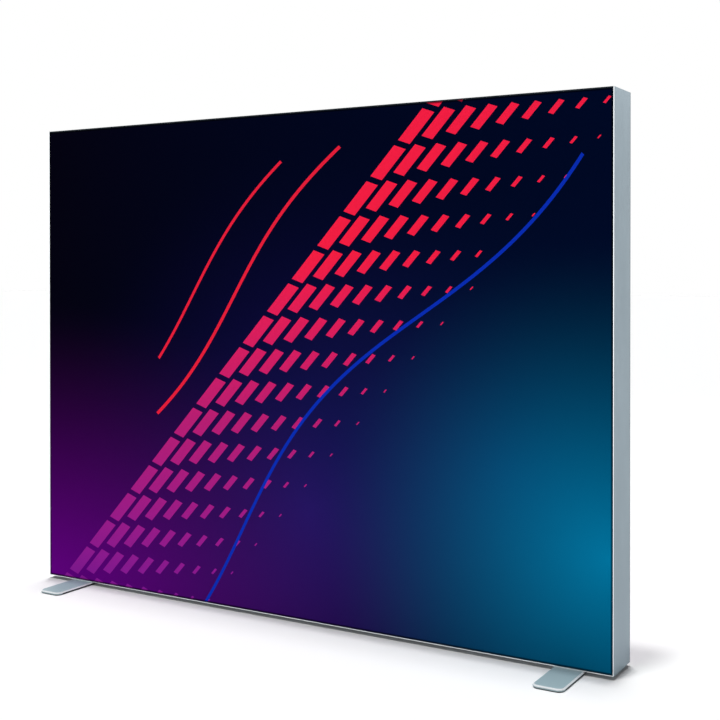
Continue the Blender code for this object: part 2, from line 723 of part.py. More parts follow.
def smooth_route(points):
    """Points along a smooth curve through a lead's route, which ends square to its seats.

    Each stretch is a cubic whose end directions weigh the two chords at each point by length.
    """
    chords = [end - start for start, end in zip(points, points[1:])]
    ways = [chord.normalized() for chord in chords]
    headings = [ways[0]]
    for i in range(1, len(chords)):
        before, after = chords[i - 1].length, chords[i].length
        headings.append((ways[i - 1] * after + ways[i] * before) / (before + after))
    headings.append(ways[-1])
    route = []
    for i, chord in enumerate(chords):
        for step in range(ROUTE_STEPS):
            t = step / ROUTE_STEPS
            place = points[i] + chord * (3 * t**2 - 2 * t**3)
            place += headings[i] * chord.length * (t - 2 * t**2 + t**3)
            place += headings[i + 1] * chord.length * (t**3 - t**2)
            route.append(place)
    return route + [points[-1]]


def build_lead(name, points, radius):
    """A round lead along a smooth route."""
    route = smooth_route(points)
    curve = bpy.data.curves.new(name, "CURVE")
    curve.dimensions = "3D"
    curve.bevel_depth = radius
    curve.bevel_resolution = 2
    curve.use_fill_caps = True
    spline = curve.splines.new("POLY")
    spline.points.add(len(route) - 1)
    for point, place in zip(spline.points, route):
        point.co = (*place, 1)
    add_object(name, curve, BLACK_PLASTIC)


def build_mains_lead():
    """The lead from the inlet's boot up to the driver."""
    start = INLET_CENTRE + INLET_HEIGHT / 2
    run = DRIVER_START - start
    boot_middle = INLET_DEPTH + GAP + BOOT_DEPTH / 2
    driver_middle = DRIVER_INWARD + DRIVER_HEIGHT / 2
    route = [
        at("left", start + GAP, 0, boot_middle),
        at("left", start + run / 4, 0, boot_middle),
        at("left", DRIVER_START - run / 4, 0, driver_middle),
        at("left", DRIVER_START - GAP, 0, driver_middle),
    ]
    build_lead("mains_lead", route, MAINS_LEAD_RADIUS)


def build_driver_leads():
    """The leads from the driver's upper cap to the light bars above and below."""
    driver_middle = DRIVER_INWARD + DRIVER_HEIGHT / 2
    exit_depth = DRIVER_WIDTH / 4
    on_post = SEAT + CLIP_BORE_HEIGHT
    bar_middle = SEAT + LED_BAR_HEIGHT / 2
    bar_end = HALF_WIDTH - LED_BAR_OUTER_MARGIN
    corner = LED_BAR_OUTER_MARGIN

    def into_bar(side, depth):
        """The last stretch of a lead, round the frame's corner into a light bar's end."""
        return [
            at(side, -HALF_WIDTH + corner / 2, depth, bar_middle + LED_LEAD_RADIUS),
            at(side, -bar_end - corner / 8, depth, bar_middle),
            at(side, -bar_end - GAP, depth, bar_middle),
        ]

    upward = [
        at("left", DRIVER_END + GAP, -exit_depth, driver_middle),
        at("left", DRIVER_END + corner / 4, -exit_depth, driver_middle),
        at("left", DRIVER_END + 2 * corner, -HOOK_MIDDLE, on_post),
        at("left", DRIVER_END + 3 * corner, -HOOK_MIDDLE, on_post),
        *(at("left", clip, -HOOK_MIDDLE, on_post) for clip in UPPER_CLIPS),
        at("left", FRAME_HEIGHT - 2 * corner, -HOOK_MIDDLE, on_post),
        at("left", FRAME_HEIGHT - corner, -HOOK_MIDDLE, on_post),
    ]
    build_lead("led_lead_top", upward + into_bar("top", -LEAD_OFFSET), LED_LEAD_RADIUS)

    beside = DRIVER_WIDTH / 2 + 2 * LED_LEAD_RADIUS
    downward = [
        at("left", DRIVER_END + GAP, exit_depth, driver_middle),
        at("left", DRIVER_END + corner / 4, exit_depth, driver_middle),
        at("left", DRIVER_END + corner / 2, (exit_depth + beside) / 2, driver_middle),
        at("left", DRIVER_END, beside, driver_middle),
        at("left", DRIVER_END - corner, beside, on_post),
        at("left", DRIVER_START + corner, beside, on_post),
        at("left", DRIVER_START, beside, on_post),
        at("left", LOWER_CLIP + 2 * CLIP_LENGTH, HOOK_MIDDLE, on_post),
        at("left", LOWER_CLIP, HOOK_MIDDLE, on_post),
        at("left", LOWER_CLIP - corner, HOOK_MIDDLE, on_post),
        at("left", corner, HOOK_MIDDLE, on_post),
    ]
    build_lead("led_lead_bottom", downward + into_bar("bottom", LEAD_OFFSET), LED_LEAD_RADIUS)


def build_bar_links():
    """Short leads past the centre brace that link the two light bars of each rail."""
    inward = SEAT + LED_BAR_HEIGHT / 2 + LED_LEAD_RADIUS
    past_brace = BRACE_DEPTH / 2 + 4 * LED_LEAD_RADIUS
    end = LED_BAR_INNER_END - GAP
    half_route = [(end, LEAD_OFFSET), (3 * end / 4, LEAD_OFFSET), (BRACE_WIDTH / 2, past_brace)]
    for side in ("bottom", "top"):
        route = [at(side, -x, depth, inward) for x, depth in half_route]
        route += [at(side, x, depth, inward) for x, depth in reversed(half_route)]
        build_lead(f"led_link_{side}", route, LED_LEAD_RADIUS)


def build_clips():
    """Saddles on the post's hooks that hold the leads to the light bars."""
    places = [("lower", LOWER_CLIP, HOOK_MIDDLE)]
    places += [
        (word, along, -HOOK_MIDDLE) for word, along in zip(("middle", "upper"), UPPER_CLIPS)
    ]
    for word, along, depth in places:
        name = f"lead_clip_{word}"
        block = box_mesh(name, (CLIP_WIDTH, CLIP_HEIGHT, CLIP_LENGTH), (0, CLIP_HEIGHT / 2, 0))
        clip = seat(add_object(name, block, WHITE_PLASTIC), "left", along, depth, SEAT)
        bore = cylinder_mesh(
            "clip_bore", LED_LEAD_RADIUS + GAP, CLIP_LENGTH + 2 * OVERRUN, (0, CLIP_BORE_HEIGHT, 0)
        )
        add_cutter(clip, bore)


def build_prints():
    """A fabric sheet on each face, with the silicone edge that holds it in the frame's groove."""
    edge_outer = (2 * (HALF_WIDTH - LIP_WIDTH - GAP), FRAME_HEIGHT - 2 * (LIP_WIDTH + GAP))
    edge_thickness = GROOVE_WIDTH - 2 * GAP
    edge_inner = tuple(size - 2 * edge_thickness for size in edge_outer)
    edge_depth = GROOVE_DEPTH - PRINT_THICKNESS - 2 * GAP
    middle = FRAME_BOTTOM + HALF_HEIGHT
    for face, way in (("front", -1), ("rear", 1)):
        print_depth = way * (HALF_DEPTH - PRINT_THICKNESS / 2)
        edge_place = way * (HALF_DEPTH - PRINT_THICKNESS - GAP - edge_depth / 2)
        slide = add_empty(f"{face}_print_slide", (0, way * HALF_DEPTH, middle))
        sheet_mesh = box_mesh(f"{face}_print", (edge_outer[0], PRINT_THICKNESS, edge_outer[1]))
        sheet = add_object(f"{face}_print", sheet_mesh, PRINT_FABRIC)
        sheet.location = (0, print_depth, middle)
        name = f"{face}_silicone_edge"
        ring = extruded_mesh(name, [rectangle(*edge_outer), rectangle(*edge_inner)], edge_depth)
        edge = add_object(name, ring, SILICONE)
        edge.location = (0, edge_place, middle)
        edge.rotation_euler = (QUARTER, 0, 0)
        hang_on(slide, sheet, edge)


def build_feet():
    """Two plates under the frame, each turning on a bolt into a nut in the rail's channel."""
    foot_bottom = PAD_THICKNESS + GAP
    foot_top = foot_bottom + FOOT_THICKNESS
    foot_length = FRAME_DEPTH + 2 * FOOT_REACH
    pad_place = foot_length / 2 - PAD_END_INSET - PAD_LENGTH / 2
    pad_size = (FOOT_WIDTH - 2 * PAD_SIDE_INSET, PAD_LENGTH, PAD_THICKNESS)
    washer_recess = WASHER_THICKNESS + GAP
    head_bottom = foot_bottom + BOLT_HEAD_SINK
    head_top = head_bottom + BOLT_HEAD_HEIGHT
    bolt_top = FRAME_BOTTOM + CONNECTOR_START + CONNECTOR_THICKNESS
    for half, x in FOOT_PLACES.items():
        swivel = add_empty(f"foot_{half}_swivel", (x, 0, foot_bottom))
        plate = rounded_plate_mesh(
            f"foot_{half}",
            (FOOT_WIDTH, foot_length, FOOT_THICKNESS),
            FOOT_CORNER,
            FOOT_CORNER_STEPS,
            FOOT_CHAMFER,
        )
        foot = add_object(f"foot_{half}", plate, FOOT_METAL)
        foot.location = (x, 0, foot_bottom + FOOT_THICKNESS / 2)
        bore = cylinder_mesh("bore", BOLT_RADIUS + GAP, FOOT_THICKNESS + 2 * OVERRUN)
        add_cutter(foot, bore)
        head_hollow_height = OVERRUN + BOLT_HEAD_SINK + BOLT_HEAD_HEIGHT + GAP
        head_hollow = cylinder_mesh("head_hollow", BOLT_HEAD_RADIUS + GAP, head_hollow_height)
        hollow_middle = foot_bottom - OVERRUN + head_hollow_height / 2
        add_cutter(foot, head_hollow, location=(x, 0, hollow_middle))
        recess_height = washer_recess + OVERRUN
        recess = cylinder_mesh("washer_recess", WASHER_RADIUS + GAP, recess_height)
        add_cutter(foot, recess, location=(x, 0, foot_top - washer_recess + recess_height / 2))

        turned_piece(
            f"foot_bolt_{half}",
            [
                (0, bolt_top),
                (BOLT_RADIUS, bolt_top),
                (BOLT_RADIUS, head_top),
                (BOLT_HEAD_RADIUS, head_top),
                (BOLT_HEAD_RADIUS, head_bottom),
                (0, head_bottom),
            ],
            ZINC,
            (x, 0, 0),
        )
        turned_piece(
            f"foot_washer_{half}",
            [
                (WASHER_RADIUS, foot_top),
                (WASHER_RADIUS, foot_top - WASHER_THICKNESS),
                (BOLT_RADIUS + GAP, foot_top - WASHER_THICKNESS),
                (BOLT_RADIUS + GAP, foot_top),
            ],
            WHITE_PLASTIC,
            (x, 0, 0),
        )
        name = f"foot_nut_{half}"
        nut_mesh = box_mesh(name, (CONNECTOR_WIDTH, CONNECTOR_THICKNESS, NUT_LENGTH))
        nut = add_object(name, nut_mesh, ZINC)
        seat(nut, "bottom", x, inward=CONNECTOR_START + CONNECTOR_THICKNESS / 2)
        nut_bore = cylinder_mesh("nut_bore", BOLT_RADIUS + GAP, CONNECTOR_THICKNESS + 2 * OVERRUN)
        add_cutter(nut, nut_bore, rotation=(0, 0, 0))

        pads = []
        for end, end_way in (("front", -1), ("rear", 1)):
            name = f"foot_pad_{half}_{end}"
            pad_mesh = rounded_plate_mesh(name, pad_size, PAD_CORNER, PAD_CORNER_STEPS)
            pad = add_object(name, pad_mesh, RUBBER)
            pad.location = (x, end_way * pad_place, PAD_THICKNESS / 2)
            pads.append(pad)
        hang_on(swivel, foot, *pads)


build_frame()
build_connectors()
build_brace()
build_light_bars()
build_driver()
build_inlet_housing()
build_inlet_contacts()
build_rocker()
build_fuse_drawer()
build_mains_lead()
build_driver_leads()
build_bar_links()
build_clips()
build_prints()
build_feet()
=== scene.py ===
"""Looks of the lightbox display wall: camera, light, floor, finishes, prints and small fittings."""
import json
import math

import bpy
import numpy as np
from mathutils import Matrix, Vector


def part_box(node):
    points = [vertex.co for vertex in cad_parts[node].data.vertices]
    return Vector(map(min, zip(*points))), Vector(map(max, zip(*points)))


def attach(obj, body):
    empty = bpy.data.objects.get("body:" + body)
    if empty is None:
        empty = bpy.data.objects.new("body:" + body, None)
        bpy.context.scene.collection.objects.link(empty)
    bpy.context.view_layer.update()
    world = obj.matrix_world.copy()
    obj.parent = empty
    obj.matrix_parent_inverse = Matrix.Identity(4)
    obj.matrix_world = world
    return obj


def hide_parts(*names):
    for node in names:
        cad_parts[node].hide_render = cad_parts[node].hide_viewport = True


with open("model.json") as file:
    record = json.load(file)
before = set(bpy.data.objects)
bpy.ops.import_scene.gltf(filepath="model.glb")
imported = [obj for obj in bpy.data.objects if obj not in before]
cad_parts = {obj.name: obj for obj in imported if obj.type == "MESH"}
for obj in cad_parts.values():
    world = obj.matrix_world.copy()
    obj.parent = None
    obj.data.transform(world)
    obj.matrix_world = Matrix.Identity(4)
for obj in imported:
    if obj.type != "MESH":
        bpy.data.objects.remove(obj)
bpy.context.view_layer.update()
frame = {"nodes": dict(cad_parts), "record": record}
nodes = frame["nodes"]

MM = 0.001


def linear(code):
    """The linear RGBA of an sRGB hex colour: each channel is v / 12.92 up to 0.04045, and above it
    ((v + 0.055) / 1.055) to the power 2.4."""
    values = [int(code[i:i + 2], 16) / 255 for i in (1, 3, 5)]
    return [v / 12.92 if v <= 0.04045 else ((v + 0.055) / 1.055) ** 2.4 for v in values] + [1.0]


def add(tree, kind, settings=(), inputs=()):
    """Adds a node of a kind with its settings. Each input takes a value, or the output that feeds
    it."""
    node = tree.nodes.new("ShaderNode" + kind)
    for name, value in dict(settings).items():
        setattr(node, name, value)
    for key, value in dict(inputs).items():
        if isinstance(value, bpy.types.NodeSocket):
            tree.links.new(value, node.inputs[key])
        else:
            node.inputs[key].default_value = value
    return node


def set_ramp(ramp, first, last, *between):
    """Sets a colour ramp's first and last stop, each a position and a colour, and adds those
    between them."""
    stops = ramp.color_ramp.elements
    for stop, (position, code) in zip((stops[0], stops[1]), (first, last)):
        stop.position = position
        stop.color = linear(code)
    for position, code in between:
        stops.new(position).color = linear(code)


def seen_rays(tree):
    """1 for a ray that shows a surface to the camera, straight, mirrored or through glass, and 0
    for one that only carries light."""
    rays = add(tree, "LightPath").outputs
    seen = add(tree, "Math", {"operation": "MAXIMUM"}, {
        0: rays["Is Camera Ray"], 1: rays["Is Glossy Ray"]})
    return add(tree, "Math", {"operation": "MAXIMUM"}, {
        0: seen.outputs[0], 1: rays["Is Transmission Ray"]}).outputs[0]


def start_material(name, **sockets):
    """A material with a Principled shader, its sockets set, and the object coordinates that its
    patterns read."""
    material = bpy.data.materials.new(name)
    material.use_nodes = True
    tree = material.node_tree
    tree.nodes.clear()
    shader = add(tree, "BsdfPrincipled", inputs={
        key.replace("_", " "): value for key, value in sockets.items()})
    add(tree, "OutputMaterial", inputs={"Surface": shader.outputs[0]})
    return material, tree, shader, add(tree, "TexCoord").outputs["Object"]


# Camera
camera_data = bpy.data.cameras.new("camera")
camera_data.sensor_width = 36.0
camera_data.lens = 57.38
camera_data.shift_x = -0.0833
camera_data.shift_y = -0.116
camera_data.clip_end = 200
camera = bpy.data.objects.new("camera", camera_data)
camera.location = (2.982, -4.264, 1.572)
camera.rotation_euler = (math.radians(89.594), 0, math.radians(29.171))
bpy.context.scene.collection.objects.link(camera)
bpy.context.scene.camera = camera

# Light
bpy.context.scene.view_settings.view_transform = "Standard"
world = bpy.data.worlds.new("studio")
bpy.context.scene.world = world
world.use_nodes = True
sky = world.node_tree
sky.nodes.clear()
# The surround shows as white, but lights the wall dimly: less from before it than from behind it
toward = add(sky, "SeparateXYZ", inputs={0: add(sky, "TexCoord").outputs["Generated"]})
dim = add(sky, "MapRange", inputs={
    "Value": toward.outputs[1], "From Min": -0.4, "From Max": 0.4, "To Min": 0.03, "To Max": 0.11})
lit = add(sky, "Background", inputs={"Color": linear("#F4F7FF"), "Strength": dim.outputs[0]})
white = add(sky, "Background", inputs={"Color": linear("#FFFFFF"), "Strength": 1.0})
mixed = add(sky, "MixShader", inputs={0: seen_rays(sky), 1: lit.outputs[0], 2: white.outputs[0]})
add(sky, "OutputWorld", inputs={"Surface": mixed.outputs[0]})


def add_lamp(name, kind, energy, place, target, **sizes):
    """A lamp at a place, turned so that its beam points at a target. The overhead lamps leave no
    glint of their own on the metal, which shows the white surround and the cards instead, as under
    one large soft light."""
    data = bpy.data.lights.new(name, kind)
    data.energy = energy
    for key, value in sizes.items():
        setattr(data, key, value)
    lamp = bpy.data.objects.new(name, data)
    lamp.location = place
    lamp.rotation_euler = (Vector(target) - Vector(place)).to_track_quat("-Z", "Y").to_euler()
    lamp.visible_glossy = kind != "SUN"
    bpy.context.scene.collection.objects.link(lamp)


# Three lamps stand overhead and a little to the left: over the wall, just before it and just
# behind it. A large card stands before the wall, and another behind it
add_lamp("overhead_key", "SUN", 1.3, (-0.10, 0.22, 9.9), (0, 0, 0), angle=math.radians(2))
add_lamp("overhead_front", "SUN", 1.27, (-0.42, -1.06, 9.9), (0, 0, 0), angle=math.radians(4))
add_lamp("overhead_rear", "SUN", 0.74, (-0.34, 0.79, 9.9), (0, 0, 0), angle=math.radians(6))
add_lamp("front_card", "AREA", 110, (-4.0, -6.5, 2.2), (-2.0, 0, 1.4),
         shape="RECTANGLE", size=10.0, size_y=3.6)
add_lamp("rear_card", "AREA", 35, (2.2, 6.6, 4.6), (0, 0, 1.2),
         shape="RECTANGLE", size=8.0, size_y=2.4)

# Floor: painted studio floor, pale and dull, that keeps the wall's shade and shows white around it
floor_material, floor_tree, floor_shader, _ = start_material(
    "studio_floor", Base_Color=linear("#EFEFEF"), Roughness=0.9, Specular_IOR_Level=0.05)
floor_glow = add(floor_tree, "Emission", inputs={"Color": linear("#343434"), "Strength": 1.0})
floor_dark = add(floor_tree, "Emission", inputs={"Strength": 0.0})
floor_extra = add(floor_tree, "MixShader", inputs={
    0: seen_rays(floor_tree), 1: floor_dark.outputs[0], 2: floor_glow.outputs[0]})
floor_sum = add(floor_tree, "AddShader", inputs={
    0: floor_shader.outputs[0], 1: floor_extra.outputs[0]})
floor_output = add(floor_tree, "OutputMaterial", inputs={"Surface": floor_sum.outputs[0]})
floor_output.is_active_output = True


def grid_faces(rows, columns):
    """The quads of a grid of points that lie row by row: each joins a point, its right neighbour
    and the two above them."""
    corner = (np.arange(rows - 1)[:, None] * columns + np.arange(columns - 1)[None, :]).ravel()
    return np.stack([corner, corner + 1, corner + columns + 1, corner + columns], axis=1)


def ring_faces(rings, count):
    """The quads between closed rings of count points each: like a grid's, with the last column
    joined to the first."""
    ring = np.arange(rings - 1)[:, None] * count
    here = np.arange(count)[None, :]
    after = (here + 1) % count
    quads = np.stack(
        [ring + here, ring + after, ring + count + after, ring + count + here], axis=-1)
    return quads.reshape(-1, 4)


def join_shapes(shapes):
    """One shape from several: their points follow each other, and each one's faces count on from
    the points before them."""
    points, faces, start = [], [], 0
    for shape_points, shape_faces in shapes:
        points.append(shape_points)
        faces.extend((np.asarray(face) + start).tolist() for face in shape_faces)
        start += len(shape_points)
    return np.concatenate(points), faces


def add_piece(name, points, faces, material, body, slot, sharp=None):
    """A mesh piece with its place in its points, which rides on a body and takes a finish; the slot
    is not used. Edges that turn by more than the angle sharp are drawn as edges."""
    mesh = bpy.data.meshes.new(name)
    mesh.from_pydata(points.tolist(), [], [list(face) for face in faces])
    mesh.materials.append(material)
    mesh.polygons.foreach_set("use_smooth", np.full(len(mesh.polygons), True))
    if sharp is not None:
        mesh.set_sharp_from_angle(angle=math.radians(sharp))
    mesh.update()
    piece = bpy.data.objects.new(name, mesh)
    bpy.context.scene.collection.objects.link(piece)
    if body:
        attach(piece, body)
    return piece


FLOOR_REACH, FLOOR_POINTS = 60, 25
floor_line = np.linspace(-FLOOR_REACH, FLOOR_REACH, FLOOR_POINTS)
floor_x, floor_y = np.meshgrid(floor_line, floor_line)
floor = add_piece(
    "studio_floor", np.stack([floor_x.ravel(), floor_y.ravel(), np.zeros(floor_x.size)], axis=1),
    grid_faces(FLOOR_POINTS, FLOOR_POINTS), floor_material, None, None)


# Finishes
FRAME_LOW, FRAME_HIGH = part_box("bottom_rail_left")[0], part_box("right_post")[1]
LIP_START = FRAME_HIGH.y - 0.6 * MM
PAINTED_SHADE_LINE = 5 * MM
LIP_HIGHLIGHT_WIDTH = 3.3 * MM


def anodised_aluminium(name, along):
    """Extruded aluminium, etched and clear anodised: a satin blue-grey metal with faint die lines
    along the profile, which stretch every highlight across them, and soft cloudy changes of tone
    from the bath. The profile runs along X where along is 0, and along Z where it is 2."""
    material, tree, shader, place = start_material(name, Metallic=1.0)
    # Die lines are 0.5 mm apart. They are drawn 3 mm apart in the tone, so that they show from a
    # few metres, and 0.8 mm apart in the relief. The clouds are 220 mm across. Each noise is given
    # by its size across the profile, its size along it, its detail and its roughness
    noises = []
    for wide, long, detail, rough in (
            (3 * MM, 1.6, 2.0, 0.5), (0.8 * MM, 0.9, 2.0, 0.5), (220 * MM, 0.9, 3.0, 0.55)):
        scale = [1 / wide] * 3
        scale[along] = 1 / long
        drawn = add(tree, "Mapping", inputs={"Vector": place, "Scale": scale})
        noises.append(add(tree, "TexNoise", inputs={
            "Scale": 1.0, "Detail": detail, "Roughness": rough,
            "Vector": drawn.outputs[0]}).outputs[0])
    line_noise, fine_noise, cloud_noise = noises
    tones = add(tree, "Math", {"operation": "MULTIPLY_ADD"}, {
        0: line_noise, 1: 0.35, 2: cloud_noise})
    spread = add(tree, "SeparateXYZ", inputs={0: place}).outputs
    # Painted light: an upright length is drawn a little paler towards its top, where it catches
    # more light
    if along == 2:
        painted_top_light = add(tree, "MapRange", inputs={
            "Value": spread[2], "From Min": 0.3, "From Max": 2.3, "To Min": -0.16, "To Max": 0.24})
        tones = add(tree, "Math", {"operation": "ADD"}, {0: tones.outputs[0], 1: painted_top_light.outputs[0]})
    tone = add(tree, "ValToRGB", inputs={"Fac": tones.outputs[0]})
    set_ramp(tone, (0.40, "#7F909A"), (0.95, "#8FA0AA"))
    # A darker line beside each edge is painted shade. The lips beside the prints are drawn near
    # white as a painted highlight: they lie within 0.6 mm of the front and the rear
    deep = add(tree, "Math", {"operation": "ABSOLUTE"}, {0: spread[1]})
    line = add(tree, "Math", {"operation": "COMPARE"}, {
        0: deep.outputs[0], 1: LIP_START - PAINTED_SHADE_LINE / 2, 2: PAINTED_SHADE_LINE / 2})
    tone_with_shade_line = add(tree, "Mix", {"data_type": "RGBA"}, {
        0: line.outputs[0], 6: tone.outputs[0], 7: linear("#5F6D76")})
    lip = add(tree, "Math", {"operation": "GREATER_THAN"}, {0: deep.outputs[0], 1: LIP_START})
    # Only the outer part of the lips at the sides and the bottom carries the painted highlight. The
    # rest, and the top lip, are painted nearly black as the shade of the print's edge: there the
    # lesser of half the length - |x| and z - bottom is more than the bright width
    aside = add(tree, "Math", {"operation": "ABSOLUTE"}, {0: spread[0]})
    aside = add(tree, "Math", {"operation": "SUBTRACT"}, {0: FRAME_HIGH.x, 1: aside.outputs[0]})
    above = add(tree, "Math", {"operation": "SUBTRACT"}, {0: spread[2], 1: FRAME_LOW.z})
    inside = add(tree, "Math", {"operation": "MINIMUM"}, {0: aside.outputs[0], 1: above.outputs[0]})
    shaded = add(tree, "Math", {"operation": "GREATER_THAN"}, {0: inside.outputs[0], 1: LIP_HIGHLIGHT_WIDTH})
    rim = add(tree, "Mix", {"data_type": "RGBA"}, {
        0: shaded.outputs[0], 6: linear("#E4E9EC"), 7: linear("#1B2126")})
    cut = add(tree, "Mix", {"data_type": "RGBA"}, {
        0: lip.outputs[0], 6: tone_with_shade_line.outputs[2], 7: rim.outputs[2]})
    satin = add(tree, "MapRange", inputs={"Value": line_noise, "To Min": 0.30, "To Max": 0.40})
    bump = add(tree, "Bump", inputs={
        "Strength": 0.25, "Distance": 0.05 * MM, "Height": fine_noise})
    tree.links.new(cut.outputs[2], shader.inputs["Base Color"])
    tree.links.new(satin.outputs[0], shader.inputs["Roughness"])
    tree.links.new(bump.outputs[0], shader.inputs["Normal"])
    return material


def speckled(name, dark, light, grain, height, smooth, rough, **sockets):
    """A finish with fine grain: one noise of a real grain size moves the colour between two tones,
    the roughness between two values and the surface by a height."""
    material, tree, shader, place = start_material(name, **sockets)
    noise = add(tree, "TexNoise", inputs={
        "Vector": place, "Scale": 1 / grain, "Detail": 4.0, "Roughness": 0.6})
    tone = add(tree, "ValToRGB", inputs={"Fac": noise.outputs[0]})
    set_ramp(tone, (0.30, dark), (0.72, light))
    gloss = add(tree, "MapRange", inputs={
        "Value": noise.outputs[0], "To Min": smooth, "To Max": rough})
    bump = add(tree, "Bump", inputs={
        "Strength": 0.4, "Distance": height, "Height": noise.outputs[0]})
    tree.links.new(tone.outputs[0], shader.inputs["Base Color"])
    tree.links.new(gloss.outputs[0], shader.inputs["Roughness"])
    tree.links.new(bump.outputs[0], shader.inputs["Normal"])
    return material


post_finish = anodised_aluminium("anodised_aluminium_upright", 2)
rail_finish = anodised_aluminium("anodised_aluminium_level", 0)
# Zinc plating over stamped steel: a bright grey metal with small spangles of unlike gloss
plated_finish = speckled(
    "zinc_plated_steel", "#9A9C9F", "#C2C5C8", 2.5 * MM, 0.02 * MM, 0.24, 0.42, Metallic=1.0)
# Mill finish aluminium of the light bars: a whiter, duller metal than the anodised one
bar_finish = speckled(
    "mill_aluminium", "#B4B7BA", "#CFD1D3", 1.2 * MM, 0.01 * MM, 0.38, 0.5, Metallic=1.0)
# Powder coat with a fine texture over steel plate: pale blue-grey with an even grain and a soft
# satin shine
foot_finish = speckled(
    "satin_powder_coated_steel", "#93A8AD", "#9FB3B8", 0.9 * MM, 0.03 * MM, 0.42, 0.52, IOR=1.45)
# Painted highlight along the feet's chamfer: a paler, slightly duller coat where the chamfer
# catches the light
chamfer_highlight_finish = speckled(
    "painted_chamfer_highlight", "#D9DEE0", "#E8ECEE", 1.0 * MM, 0.01 * MM, 0.45, 0.55, IOR=1.5)
# Frosted acrylic of the lenses: milky white, lit from behind by the light sources
lens_finish = speckled(
    "frosted_acrylic", "#E9EEF2", "#FFFFFF", 1.5 * MM, 0.01 * MM, 0.25, 0.4,
    Transmission_Weight=0.35, IOR=1.49, Emission_Color=linear("#F3F8FF"), Emission_Strength=1.2)
# The sources sit 50 mm apart under the lens, and each one shows through it as a brighter patch
lens_tree = lens_finish.node_tree
lens_place = add(lens_tree, "SeparateXYZ", inputs={
    0: add(lens_tree, "TexCoord").outputs["Object"]})
lens_turn = add(lens_tree, "Math", {"operation": "MULTIPLY"}, {
    0: lens_place.outputs[0], 1: 2 * math.pi / (50 * MM)})
lens_wave = add(lens_tree, "Math", {"operation": "COSINE"}, {0: lens_turn.outputs[0]})
lens_glow = add(lens_tree, "MapRange", inputs={
    "Value": lens_wave.outputs[0], "From Min": -0.2, "To Min": 0.12, "To Max": 0.9})
lens_tree.links.new(
    lens_glow.outputs[0], lens_tree.nodes["Principled BSDF"].inputs["Emission Strength"])
# Moulded glass-filled nylon: near black, with spark-eroded grain
black_finish = speckled(
    "black_moulded_nylon", "#121314", "#1E1F21", 0.6 * MM, 0.03 * MM, 0.42, 0.58, IOR=1.53)
# Moulded polycarbonate of the lead clips and the feet's swivel washers: white, smooth, dull shine
white_finish = speckled(
    "white_moulded_polycarbonate", "#D6D6D1", "#E2E2DE", 0.7 * MM, 0.02 * MM, 0.4, 0.52, IOR=1.58)
# Tinted polycarbonate of the rocker: deep red, smooth and glossy, with a faint inner glow
rocker_finish = speckled(
    "red_tinted_polycarbonate", "#9C1410", "#B81A12", 3.0 * MM, 0.005 * MM, 0.16, 0.26, IOR=1.58,
    Emission_Color=linear("#FF3A1E"), Emission_Strength=0.25)
# Glass-epoxy laminate under solder mask: green, even and half glossy
board_finish = speckled(
    "green_glass_epoxy_laminate", "#12512A", "#1B6A38", 1.0 * MM, 0.02 * MM, 0.3, 0.45, IOR=1.55)
# The same laminate under white solder mask, as used beside lights: off-white and half glossy
white_board_finish = speckled(
    "white_glass_epoxy_laminate", "#DADCD8", "#E8EAE7", 1.0 * MM, 0.02 * MM, 0.3, 0.42, IOR=1.55)
# Moulded epoxy of small surface parts: black and satin
chip_finish = speckled(
    "black_epoxy_package", "#19191A", "#262728", 0.4 * MM, 0.01 * MM, 0.35, 0.5, IOR=1.55)
# Nickel-plated brass contacts: warm pale metal, bright
contact_finish = speckled(
    "nickel_plated_brass", "#C0B79A", "#D9D1B6", 0.8 * MM, 0.005 * MM, 0.18, 0.3, Metallic=1.0)
# Glass tube of the fuse, filled with sand: pale grey under a smooth, glossy skin
fuse_finish = speckled(
    "sand_filled_fuse_glass", "#BFC2BE", "#DADCD8", 0.5 * MM, 0.005 * MM, 0.06, 0.16, IOR=1.52)
# Translucent extruded silicone: milky, soft and slightly greasy
silicone_finish = speckled(
    "translucent_silicone", "#CFCFCA", "#DDDDD8", 1.5 * MM, 0.02 * MM, 0.42, 0.55, IOR=1.41,
    Subsurface_Weight=0.2, Subsurface_Scale=2 * MM)
# Moulded rubber of the pads: dull near black with fine grain. Along the feet's long sides the same
# finish is painted shade
rubber_and_side_shade_finish = speckled(
    "black_moulded_rubber", "#161616", "#232323", 0.8 * MM, 0.06 * MM, 0.72, 0.88, IOR=1.52)
# PVC sheath of the leads: dark grey, smooth with a dull shine
lead_finish = speckled(
    "dark_pvc_sheath", "#1C1D1F", "#28292C", 1.6 * MM, 0.01 * MM, 0.36, 0.48, IOR=1.54)
# Pad-printed ink of the switch marks: white, thin and matt
mark_finish = speckled(
    "white_pad_print_ink", "#D8D8D4", "#F2F2EE", 0.4 * MM, 0.005 * MM, 0.45, 0.6, IOR=1.5)


